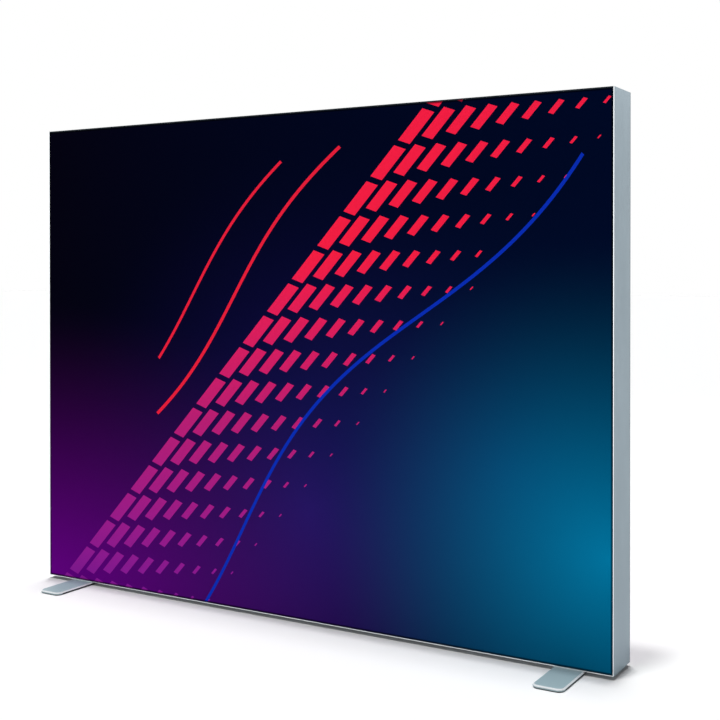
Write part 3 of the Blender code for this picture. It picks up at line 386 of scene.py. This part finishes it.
def printed_fabric(name, left, right, low, high, way):
    """Dye-sublimated polyester knit, stretched, with the light from behind painted in as its own
    glow: matt, the inks deep and even where they glow, with a fine rib of yarn across them, and a
    darker margin of painted shade where the silicone edge behind it stops the light. The design
    runs along X as its side of the wall shows it, so way turns it round for the rear."""
    material, tree, shader, place = start_material(
        name, Roughness=0.85, Specular_IOR_Level=0.01, IOR=1.5, Emission_Strength=0.5)
    place = add(tree, "Mapping", inputs={"Vector": place, "Scale": (way, 1, 1)}).outputs[0]
    spread = add(tree, "SeparateXYZ", inputs={0: place}).outputs
    x, rise = spread[0], spread[2]
    # A dark ground, bluer to the right, under four soft pools of ink, each with its middle and its
    # two radii in metres
    ground = add(tree, "MapRange", inputs={"Value": x, "From Min": left, "From Max": right})
    art = add(tree, "Mix", {"data_type": "RGBA"}, {
        0: ground.outputs[0], 6: linear("#02010E"), 7: linear("#000926")}).outputs[2]
    pools = [("#6E008E", (-1.46, -0.15), (2.40, 1.60)), ("#1C1158", (0.10, 0.50), (1.60, 1.70)),
             ("#00789E", (1.48, 0.46), (1.36, 1.26)), ("#00183C", (1.05, 0.75), (1.50, 1.30))]
    for ink, (pool_x, pool_z), (wide, tall) in pools:
        spot = add(tree, "Mapping", {"vector_type": "TEXTURE"}, {
            "Vector": place, "Location": (pool_x, 0, pool_z), "Scale": (wide, 1, tall)})
        flat = add(tree, "VectorMath", {"operation": "MULTIPLY"}, {
            0: spot.outputs[0], 1: (1, 0, 1)})
        pool = add(tree, "TexGradient", {"gradient_type": "QUADRATIC_SPHERE"}, {
            0: flat.outputs[0]})
        art = add(tree, "Mix", {"data_type": "RGBA", "blend_type": "ADD"}, {
            0: pool.outputs[1], 6: art, 7: linear(ink)}).outputs[2]
    # A slanting band of short bars in staggered rows. The rows are numbered upwards, and half a
    # bar's length and half its height, as shares of its step and its row, shrink row by row
    row_height, bar_step, top_row, last_row = 0.072, 0.20, 3, -7
    slanted = add(tree, "Mapping", {"vector_type": "TEXTURE"}, {
        "Vector": place, "Location": (0.10, 0, 1.22), "Rotation": (0, math.radians(-47), 0)})
    band = add(tree, "SeparateXYZ", inputs={0: slanted.outputs[0]}).outputs
    along, across = band[0], band[2]
    rows = add(tree, "Math", {"operation": "DIVIDE"}, {0: across, 1: row_height})
    row = add(tree, "Math", {"operation": "FLOOR"}, {0: rows.outputs[0]})
    in_row = add(tree, "Math", {"operation": "FRACT"}, {0: rows.outputs[0]})
    stagger = add(tree, "Math", {"operation": "MULTIPLY"}, {0: row.outputs[0], 1: 0.38})
    slant = add(tree, "Math", {"operation": "MULTIPLY_ADD"}, {
        0: in_row.outputs[0], 1: 0.16, 2: stagger.outputs[0]})
    steps = add(tree, "Math", {"operation": "MULTIPLY_ADD"}, {
        0: along, 1: 1 / bar_step, 2: slant.outputs[0]})
    in_step = add(tree, "Math", {"operation": "FRACT"}, {0: steps.outputs[0]})
    bars = add(tree, "Math", {"operation": "LESS_THAN"}, {0: row.outputs[0], 1: top_row + 0.5})
    for reached, most in ((in_step, 0.43), (in_row, 0.38)):
        reach = add(tree, "MapRange", inputs={
            "Value": row.outputs[0], "From Min": top_row, "From Max": last_row,
            "To Min": most, "To Max": 0})
        within = add(tree, "Math", {"operation": "COMPARE"}, {
            0: reached.outputs[0], 1: 0.5, 2: reach.outputs[0]})
        bars = add(tree, "Math", {"operation": "MULTIPLY"}, {
            0: bars.outputs[0], 1: within.outputs[0]})
    bar_rise = add(tree, "MapRange", inputs={"Value": rise, "From Min": low, "From Max": high})
    bar_ink = add(tree, "ValToRGB", inputs={"Fac": bar_rise.outputs[0]})
    set_ramp(bar_ink, (0.02, "#8A1C98"), (0.72, "#FF2046"), (0.38, "#C02078"))
    art = add(tree, "Mix", {"data_type": "RGBA"}, {
        0: bars.outputs[0], 6: art, 7: bar_ink.outputs[0]}).outputs[2]
    # Thin waves beside the band. Each is the line where the distance across the band is
    # middle + swing * sin(rate * distance along it + turn), with half its thickness and its ends
    waves = [("#F0203C", 0.46, 0.060, 3.1, 0.4, 0.0080, -0.85, 0.75),
             ("#F0203C", 0.64, 0.060, 3.1, 0.9, 0.0070, -0.65, 0.50),
             ("#0A2FB8", -0.30, 0.110, 2.3, 2.0, 0.0075, -1.60, 1.45)]
    for ink, middle, swing, rate, turn, thick, start, end in waves:
        phase = add(tree, "Math", {"operation": "MULTIPLY_ADD"}, {0: along, 1: rate, 2: turn})
        wave = add(tree, "Math", {"operation": "SINE"}, {0: phase.outputs[0]})
        line = add(tree, "Math", {"operation": "MULTIPLY_ADD"}, {
            0: wave.outputs[0], 1: swing, 2: middle})
        stroke = add(tree, "Math", {"operation": "COMPARE"}, {
            0: across, 1: line.outputs[0], 2: thick})
        span = add(tree, "Math", {"operation": "COMPARE"}, {
            0: along, 1: (start + end) / 2, 2: (end - start) / 2})
        shown = add(tree, "Math", {"operation": "MULTIPLY"}, {
            0: stroke.outputs[0], 1: span.outputs[0]})
        art = add(tree, "Mix", {"data_type": "RGBA"}, {
            0: shown.outputs[0], 6: art, 7: linear(ink)}).outputs[2]
    # The margin of painted shade: the least distance to the four edges, dark up to the silicone
    # edge's 3 mm and clear after 9 mm
    edges = [add(tree, "Math", {"operation": "SUBTRACT"}, {0: a, 1: b}).outputs[0]
             for a, b in ((x, left), (right, x), (rise, low), (high, rise))]
    nearest = edges[0]
    for edge in edges[1:]:
        nearest = add(tree, "Math", {"operation": "MINIMUM"}, {0: nearest, 1: edge}).outputs[0]
    margin = add(tree, "MapRange", {"interpolation_type": "SMOOTHSTEP"}, {
        "Value": nearest, "From Min": 3 * MM, "From Max": 9 * MM, "To Min": 0.25, "To Max": 1.0})
    art = add(tree, "Mix", {"data_type": "RGBA", "blend_type": "MULTIPLY"}, {
        0: 1.0, 6: art, 7: margin.outputs[0]}).outputs[2]
    # Unlit, the dyed knit reflects about half of what its inks show with the lamps behind them
    dyed = add(tree, "Mix", {"data_type": "RGBA", "blend_type": "MULTIPLY"}, {
        0: 1.0, 6: art, 7: linear("#C4C4C4")})
    tree.links.new(dyed.outputs[2], shader.inputs["Base Color"])
    # The backlight is painted in: the inks glow as the fabric's own emission
    tree.links.new(art, shader.inputs["Emission Color"])
    # Yarn ribs are 0.4 mm apart and are drawn 3.2 mm apart, so that they show when the camera
    # comes close. The node's own bands are 2 pi / 20 apart at scale 1
    ribs = add(tree, "TexWave", {"wave_type": "BANDS", "bands_direction": "X"}, {
        "Vector": place, "Scale": 2 * math.pi / 20 / (3.2 * MM),
        "Distortion": 0.6, "Detail": 1.0, "Detail Scale": 2.0})
    bump = add(tree, "Bump", inputs={
        "Strength": 0.3, "Distance": 0.1 * MM, "Height": ribs.outputs[1]})
    tree.links.new(bump.outputs[0], shader.inputs["Normal"])
    return material


FINISHES = {
    "frame_aluminium": rail_finish, "connector_steel": plated_finish,
    "bar_aluminium": bar_finish, "foot_metal": foot_finish, "zinc_steel": plated_finish,
    "lens_plastic": lens_finish, "black_plastic": black_finish, "white_plastic": white_finish,
    "switch_plastic": rocker_finish, "board_laminate": board_finish,
    "contact_brass": contact_finish, "fuse_glass": fuse_finish, "silicone": silicone_finish,
    "pad_rubber": rubber_and_side_shade_finish, "lead_sheath": lead_finish,
}
UPRIGHTS = ("left_post", "right_post", "centre_brace")
for subpart in frame["record"]["subparts"]:
    if subpart["material_slot"] == "print_fabric":
        continue
    finishes = nodes[subpart["node"]].data.materials
    finishes.clear()
    finishes.append(
        post_finish if subpart["node"] in UPRIGHTS else FINISHES[subpart["material_slot"]])

# Prints
PRINT_LOW, PRINT_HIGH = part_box("front_print")
FOLD, HEM = 0.8 * MM, 13 * MM
PULL, PULL_START, PULL_FADE = 0.25 * MM, 20 * MM, 30 * MM
PULL_UP, PULL_ACROSS = 21 * MM, 24 * MM
PROUD, SUNK = 0.15 * MM, 0.1 * MM
TOUCH = 1e-6


def stretched_print(name, node, way, finish_name):
    """A sheet stretched over its silicone edge: a flat grid with faint pulls near its rim, whose
    rim turns a quarter circle and runs down beside the edge as a hem. A pull's depth is 0.25 mm
    times the cosine of the distance along the rim over 21 or 24 mm, times e to the minus distance
    from the rim over 30 mm, times that distance over 20 mm where it is less. Each ring of the fold
    is the rim moved out by radius times sine, and in by radius times (1 - cosine)."""
    low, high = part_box(node)
    face = (low.y if way < 0 else high.y) - way * SUNK
    half_x = (high.x - low.x) / 2 + PROUD - FOLD
    half_z = (high.z - low.z) / 2 + PROUD - FOLD
    centre_z = (low.z + high.z) / 2
    columns, rows = 201, 151
    across, up = np.meshgrid(
        np.linspace(-half_x, half_x, columns), np.linspace(-half_z, half_z, rows))
    pulls = 0
    for along_rim, from_rim in (
            (up / PULL_UP, half_x - np.abs(across)), (across / PULL_ACROSS, half_z - np.abs(up))):
        pulls = pulls + (np.cos(along_rim) * np.exp(-from_rim / PULL_FADE)
                         * np.clip(from_rim / PULL_START, 0, 1))
    grid = np.stack(
        [across, face - way * np.abs(PULL * pulls), up + centre_z], axis=-1).reshape(-1, 3)
    # The rim runs once round the grid, and each of its points moves out across its own side
    index = np.arange(rows * columns).reshape(rows, columns)
    rim = np.concatenate([index[0, :-1], index[:-1, -1], index[-1, :0:-1], index[:0:-1, 0]])
    rim_x, rim_z = grid[rim, 0], grid[rim, 2] - centre_z
    out_x = np.sign(rim_x) * (np.abs(np.abs(rim_x) - half_x) < TOUCH)
    out_z = np.sign(rim_z) * (np.abs(np.abs(rim_z) - half_z) < TOUCH)
    turn = np.linspace(0, math.pi / 2, 6)[1:]
    down = np.linspace(FOLD, HEM, 5)[1:]
    moved = np.concatenate([FOLD * np.sin(turn), np.full(len(down), FOLD)])
    sunk = np.concatenate([FOLD * (1 - np.cos(turn)), down])
    rings = np.repeat(grid[rim][None], len(moved), axis=0)
    rings[:, :, 0] += moved[:, None] * out_x
    rings[:, :, 2] += moved[:, None] * out_z
    rings[:, :, 1] = face - way * sunk[:, None]
    fold_index = len(grid) + np.arange(rings.shape[0] * len(rim)).reshape(-1, len(rim))
    ring = np.concatenate([rim[None], fold_index])
    after = np.roll(ring, -1, axis=1)
    fold = np.stack([ring[:-1], ring[1:], after[1:], after[:-1]], axis=-1).reshape(-1, 4)
    faces = np.concatenate([grid_faces(rows, columns), fold])
    if way > 0:
        faces = faces[:, ::-1]
    finish = printed_fabric(
        finish_name, PRINT_LOW.x, PRINT_HIGH.x, PRINT_LOW.z, PRINT_HIGH.z, -way)
    piece = add_piece(name, np.concatenate([grid, rings.reshape(-1, 3)]), faces, finish, node,
                      "print_fabric", sharp=60)
    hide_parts(node)


stretched_print("front_fabric", "front_print", -1, "dye_sublimated_polyester_knit_front")
stretched_print("rear_fabric", "rear_print", 1, "dye_sublimated_polyester_knit_rear")


# Feet
def slab(middle, size, corner, profile, steps, way=1):
    """A plate with a rounded outline: rings of the outline, each moved in and along z by a profile
    of (inset, height) pairs. The outline is a rectangle with quarter circles at its corners, each
    of this many steps, and an inset takes as much off the half sides as off the circles' radius.
    Its middle is that of the face where the heights start."""
    profile = np.asarray(profile)
    angle = np.linspace(0, math.pi / 2, steps)
    turn = np.concatenate([angle + quarter * math.pi / 2 for quarter in range(4)])
    side_x = np.repeat([1, -1, -1, 1], steps) * (size[0] / 2 - corner)
    side_y = np.repeat([1, 1, -1, -1], steps) * (size[1] / 2 - corner)
    rim = corner - profile[:, :1]
    x = middle[0] + side_x[None, :] + rim * np.cos(turn)[None, :]
    y = middle[1] + side_y[None, :] + rim * np.sin(turn)[None, :]
    z = middle[2] + way * profile[:, 1:] + 0 * x
    count = len(turn)
    faces = ring_faces(len(profile), count).tolist()
    faces.append(list(range(count))[::-1])
    faces.append(list(range(x.size - count, x.size)))
    if way < 0:
        faces = [face[::-1] for face in faces]
    return np.stack([x, y, z], axis=-1).reshape(-1, 3), faces


FOOT_CORNER, FOOT_CHAMFER, FOOT_SOFT = 28 * MM, 6 * MM, 1.2 * MM
FOOT_STEPS = 13


def foot_plate(name, node):
    """A foot plate with a chamfer whose two edges are softened: arcs of 45 degrees with a radius
    of 1.2 mm, which touch the side, the chamfer and the top. Each edge is cut back on both sides
    by the radius times the tangent of half that angle."""
    low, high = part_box(node)
    thick = high.z - low.z
    ease = np.linspace(0, math.pi / 4, 5)
    back = FOOT_SOFT * math.tan(math.pi / 8)
    under = np.array([(1.0, 0), (0.3, 0.3), (0, 1.0)]) * MM
    lower = np.stack([FOOT_SOFT * (1 - np.cos(ease)),
                      thick - FOOT_CHAMFER - back + FOOT_SOFT * np.sin(ease)], axis=1)
    upper = np.stack([FOOT_CHAMFER + back - FOOT_SOFT * np.sin(ease[::-1]),
                      thick - FOOT_SOFT * (1 - np.cos(ease[::-1]))], axis=1)
    middle = ((low.x + high.x) / 2, (low.y + high.y) / 2, low.z)
    points, faces = slab(middle, (high.x - low.x, high.y - low.y), FOOT_CORNER,
                         np.concatenate([under, lower, upper]), FOOT_STEPS)
    piece = add_piece(name, points, faces, foot_finish, node, "foot_metal", sharp=35)
    # A painted highlight, pale and a little duller, covers the ring of faces along the chamfer, and
    # painted shade in the black rubber finish lines each long side below it: the last face of the
    # second quarter of a ring and of the fourth
    piece.data.materials.append(chamfer_highlight_finish)
    piece.data.materials.append(rubber_and_side_shade_finish)
    coat = np.zeros(len(faces), int)
    rings = coat[:-2].reshape(-1, 4 * FOOT_STEPS)
    chamfer = len(under) + len(lower) - 1
    rings[chamfer] = 1
    rings[1:chamfer - 1, [2 * FOOT_STEPS - 1, 4 * FOOT_STEPS - 1]] = 2
    piece.data.polygons.foreach_set("material_index", coat)
    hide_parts(node)


foot_plate("foot_plate_left", "foot_left")
foot_plate("foot_plate_right", "foot_right")


# Small fittings
def turned(profile, places, axis, steps, hexagon=(), squash=1.0, hollow=False):
    """Copies of one turned shape: a profile of (radius, height) pairs, swept round an axis in
    steps, with the same shape at every place. The rings named in hexagon follow one: their radius
    is multiplied by cos 30 / cos(angle - 30 degrees) within each sixth of a turn. A squash narrows
    the shape along Y. A face closes each end, or, where the shape is hollow, its last ring is
    joined to its first."""
    profile = np.asarray(profile, float)
    angle = np.arange(steps) * 2 * math.pi / steps
    six = math.cos(math.pi / 6) / np.cos(angle % (math.pi / 3) - math.pi / 6)
    round_six = np.ones((len(profile), steps))
    round_six[list(hexagon)] = six
    x = profile[:, :1] * np.cos(angle) * round_six
    y = profile[:, :1] * np.sin(angle) * round_six
    z = profile[:, 1:] + 0 * x
    axis = np.asarray(axis, float)
    first = np.cross(axis, [0.0, 1.0, 0.0])
    second = np.cross(axis, first) * squash
    local = (x[..., None] * first + y[..., None] * second + z[..., None] * axis).reshape(-1, 3)
    if hollow:
        faces = ring_faces(len(profile) + 1, steps) % len(local)
    else:
        faces = ring_faces(len(profile), steps).tolist()
        faces += [list(range(steps))[::-1], list(range(len(local) - steps, len(local)))]
    return join_shapes([(local + np.asarray(place), faces) for place in places])


def socket_screws(name, groups, radius, height):
    """One piece of button head screws with hexagon sockets, from groups of places that share an
    axis. The last three rings are the socket's mouth, its wall and the middle of its floor."""
    profile = [(radius, 0), (radius, 0.25 * height), (0.93 * radius, 0.62 * height),
               (0.74 * radius, 0.9 * height), (0.5 * radius, height),
               (0.46 * radius, 0.35 * height), (0.01 * radius, 0.3 * height)]
    points, faces = join_shapes(
        [turned(profile, places, axis, 12, hexagon=(4, 5)) for axis, places in groups])
    add_piece(name, points, faces, plated_finish, "frame", "zinc_steel", sharp=40)


# Each direction is named by the side of the frame that a screw's head looks away from. The corner
# brackets' arms, which the first screws hold, are 8.8 mm in from the frame's outside
from_left, from_right, from_bottom, from_top = (1, 0, 0), (-1, 0, 0), (0, 0, 1), (0, 0, -1)
frame_bottom, frame_top = (corner.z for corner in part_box("left_post"))
frame_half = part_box("right_post")[1].x
BRACKET_FACE = 8.8 * MM
bracket_rows = (-12 * MM, 12 * MM)
arms = [28 * MM, 52 * MM]
arm_heights = [frame_bottom + arm for arm in arms] + [frame_top - arm for arm in arms]
arm_reaches = [s * (frame_half - arm) for s in (-1, 1) for arm in arms]
socket_screws("bracket_screws", [
    (from_left, [(-frame_half + BRACKET_FACE, y, z) for y in bracket_rows for z in arm_heights]),
    (from_right, [(frame_half - BRACKET_FACE, y, z) for y in bracket_rows for z in arm_heights]),
    (from_bottom, [(x, y, frame_bottom + BRACKET_FACE) for y in bracket_rows for x in arm_reaches]),
    (from_top, [(x, y, frame_top - BRACKET_FACE) for y in bracket_rows for x in arm_reaches]),
], 3.0 * MM, 1.2 * MM)

SHOE_FLANGE = 3 * MM
shoe_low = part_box("brace_shoe_bottom")[0].z + SHOE_FLANGE
shoe_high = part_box("brace_shoe_top")[1].z - SHOE_FLANGE
shoe_holes = [(x, y) for x in (-27 * MM, 27 * MM) for y in (-21 * MM, 21 * MM)]
plate_low, plate_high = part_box("driver_plate")
plate_heights = (plate_low.z + 13 * MM, plate_high.z - 13 * MM)
socket_screws("shoe_and_plate_screws", [
    (from_bottom, [(x, y, shoe_low) for x, y in shoe_holes]),
    (from_top, [(x, y, shoe_high) for x, y in shoe_holes]),
    (from_left, [(plate_high.x, y, z) for y in (-18 * MM, 18 * MM) for z in plate_heights]),
], 3.2 * MM, 1.3 * MM)

# Circuit strips on the light bars, one at each side of the lens, with a small part every 100 mm
# and three screws that stand clear of the parts
BOARD_WIDTH, BOARD_THICK, BOARD_ASIDE = 10 * MM, 0.9 * MM, 17.5 * MM
CHIP_SIZE, CHIP_STEP = (3.2 * MM, 1.6 * MM), 100 * MM
board_profile = np.array([(0.15, 0), (0, 0.15), (0, 0.75), (0.15, 0.9)]) * MM
chip_profile = np.array([(0, 0), (0, 0.8), (0.15, 1.0)]) * MM
boards, chips, bar_screws = [], [], {from_bottom: [], from_top: []}
for level, way, axis in (("bottom", 1, from_bottom), ("top", -1, from_top)):
    for half in ("left", "right"):
        bar_low, bar_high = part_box("led_bar_" + level + "_" + half)
        seat = bar_high.z if way > 0 else bar_low.z
        board_top = seat + way * BOARD_THICK
        bar_middle, board_length = (bar_low.x + bar_high.x) / 2, bar_high.x - bar_low.x - 24 * MM
        for y in (-BOARD_ASIDE, BOARD_ASIDE):
            boards.append(slab((bar_middle, y, seat), (board_length, BOARD_WIDTH), 1.5 * MM,
                               board_profile, 3, way))
            for x in bar_middle + np.arange(-6, 7) * CHIP_STEP:
                chips.append(slab((x, y, board_top), CHIP_SIZE, 0.2 * MM, chip_profile, 2, way))
            bar_screws[axis] += [(bar_middle + share * board_length + 25 * MM, y, board_top)
                                 for share in (-0.46, 0, 0.92 * 0.46)]
add_piece("circuit_strips", *join_shapes(boards), white_board_finish, "frame", "board_laminate",
          sharp=40)
add_piece("circuit_parts", *join_shapes(chips), chip_finish, "frame", "black_plastic", sharp=40)
socket_screws("bar_screws", list(bar_screws.items()), 2.6 * MM, 1.2 * MM)

# Ribbed glands where the leads enter the driver: a cone whose radius drops from rib to rib. The
# two upper ones are narrower
case_low, case_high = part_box("driver_case")
gland_x = (case_low.x + case_high.x) / 2
cap_low, cap_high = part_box("driver_cap_lower")[0].z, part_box("driver_cap_upper")[1].z
gland = np.array([
    (7.5, 0), (7.5, 1.2), (6.2, 1.6), (6.2, 2.6), (6.9, 3.0), (6.9, 4.2), (5.6, 4.6), (5.6, 5.6),
    (6.2, 6.0), (6.2, 7.2), (4.9, 8.2), (4.4, 8.4)]) * MM
narrow = gland * (0.72, 1)
upper_places = [(gland_x, y, cap_high) for y in (-15 * MM, 15 * MM)]
add_piece("driver_glands", *join_shapes([
    turned(gland, [(gland_x, 0, cap_low)], from_top, 20),
    turned(narrow, upper_places, from_bottom, 20)]), rubber_and_side_shade_finish, "frame", "pad_rubber", sharp=30)

# Marks on the rocker: a bar on the half that is pressed while it is on, and a ring on the other,
# each on its half's flat. Before the tilt, each flat runs from 1.8 mm out at the pivot's height to
# 3.2 mm out at 6 mm from it
pivot = next(joint["pos_m"] for joint in frame["record"]["behaviour"]["joints"]
             if joint["name"] == "switch_rock")
tilt = math.radians(10)
FLAT_NEAR, FLAT_FAR, FLAT_HEIGHT = 1.8 * MM, 3.2 * MM, 6 * MM
bar_mark = [(1.5, 0), (1.5, 0.05), (1.35, 0.08), (0.01, 0.08)]
ring_mark = [(1.5, 0), (1.45, 0.07), (1.05, 0.07), (1.0, 0)]
for name, way, mark, squash, hollow in (("rocker_bar_mark", -1, bar_mark, 0.2, False),
                                        ("rocker_ring_mark", 1, ring_mark, 1.0, True)):
    out, up = (FLAT_NEAR + FLAT_FAR) / 2, way * FLAT_HEIGHT / 2
    slope = math.atan2(FLAT_FAR - FLAT_NEAR, FLAT_HEIGHT) * way
    mark_place = (pivot[0] - out * math.cos(tilt) - up * math.sin(tilt), 0,
                  pivot[2] + up * math.cos(tilt) - out * math.sin(tilt))
    normal = (-math.cos(slope + tilt), 0, -math.sin(slope + tilt))
    points, faces = turned(
        np.array(mark) * MM, [mark_place], normal, 24, squash=squash, hollow=hollow)
    add_piece(name, points, faces, mark_finish, "switch", "white_plastic", sharp=40)
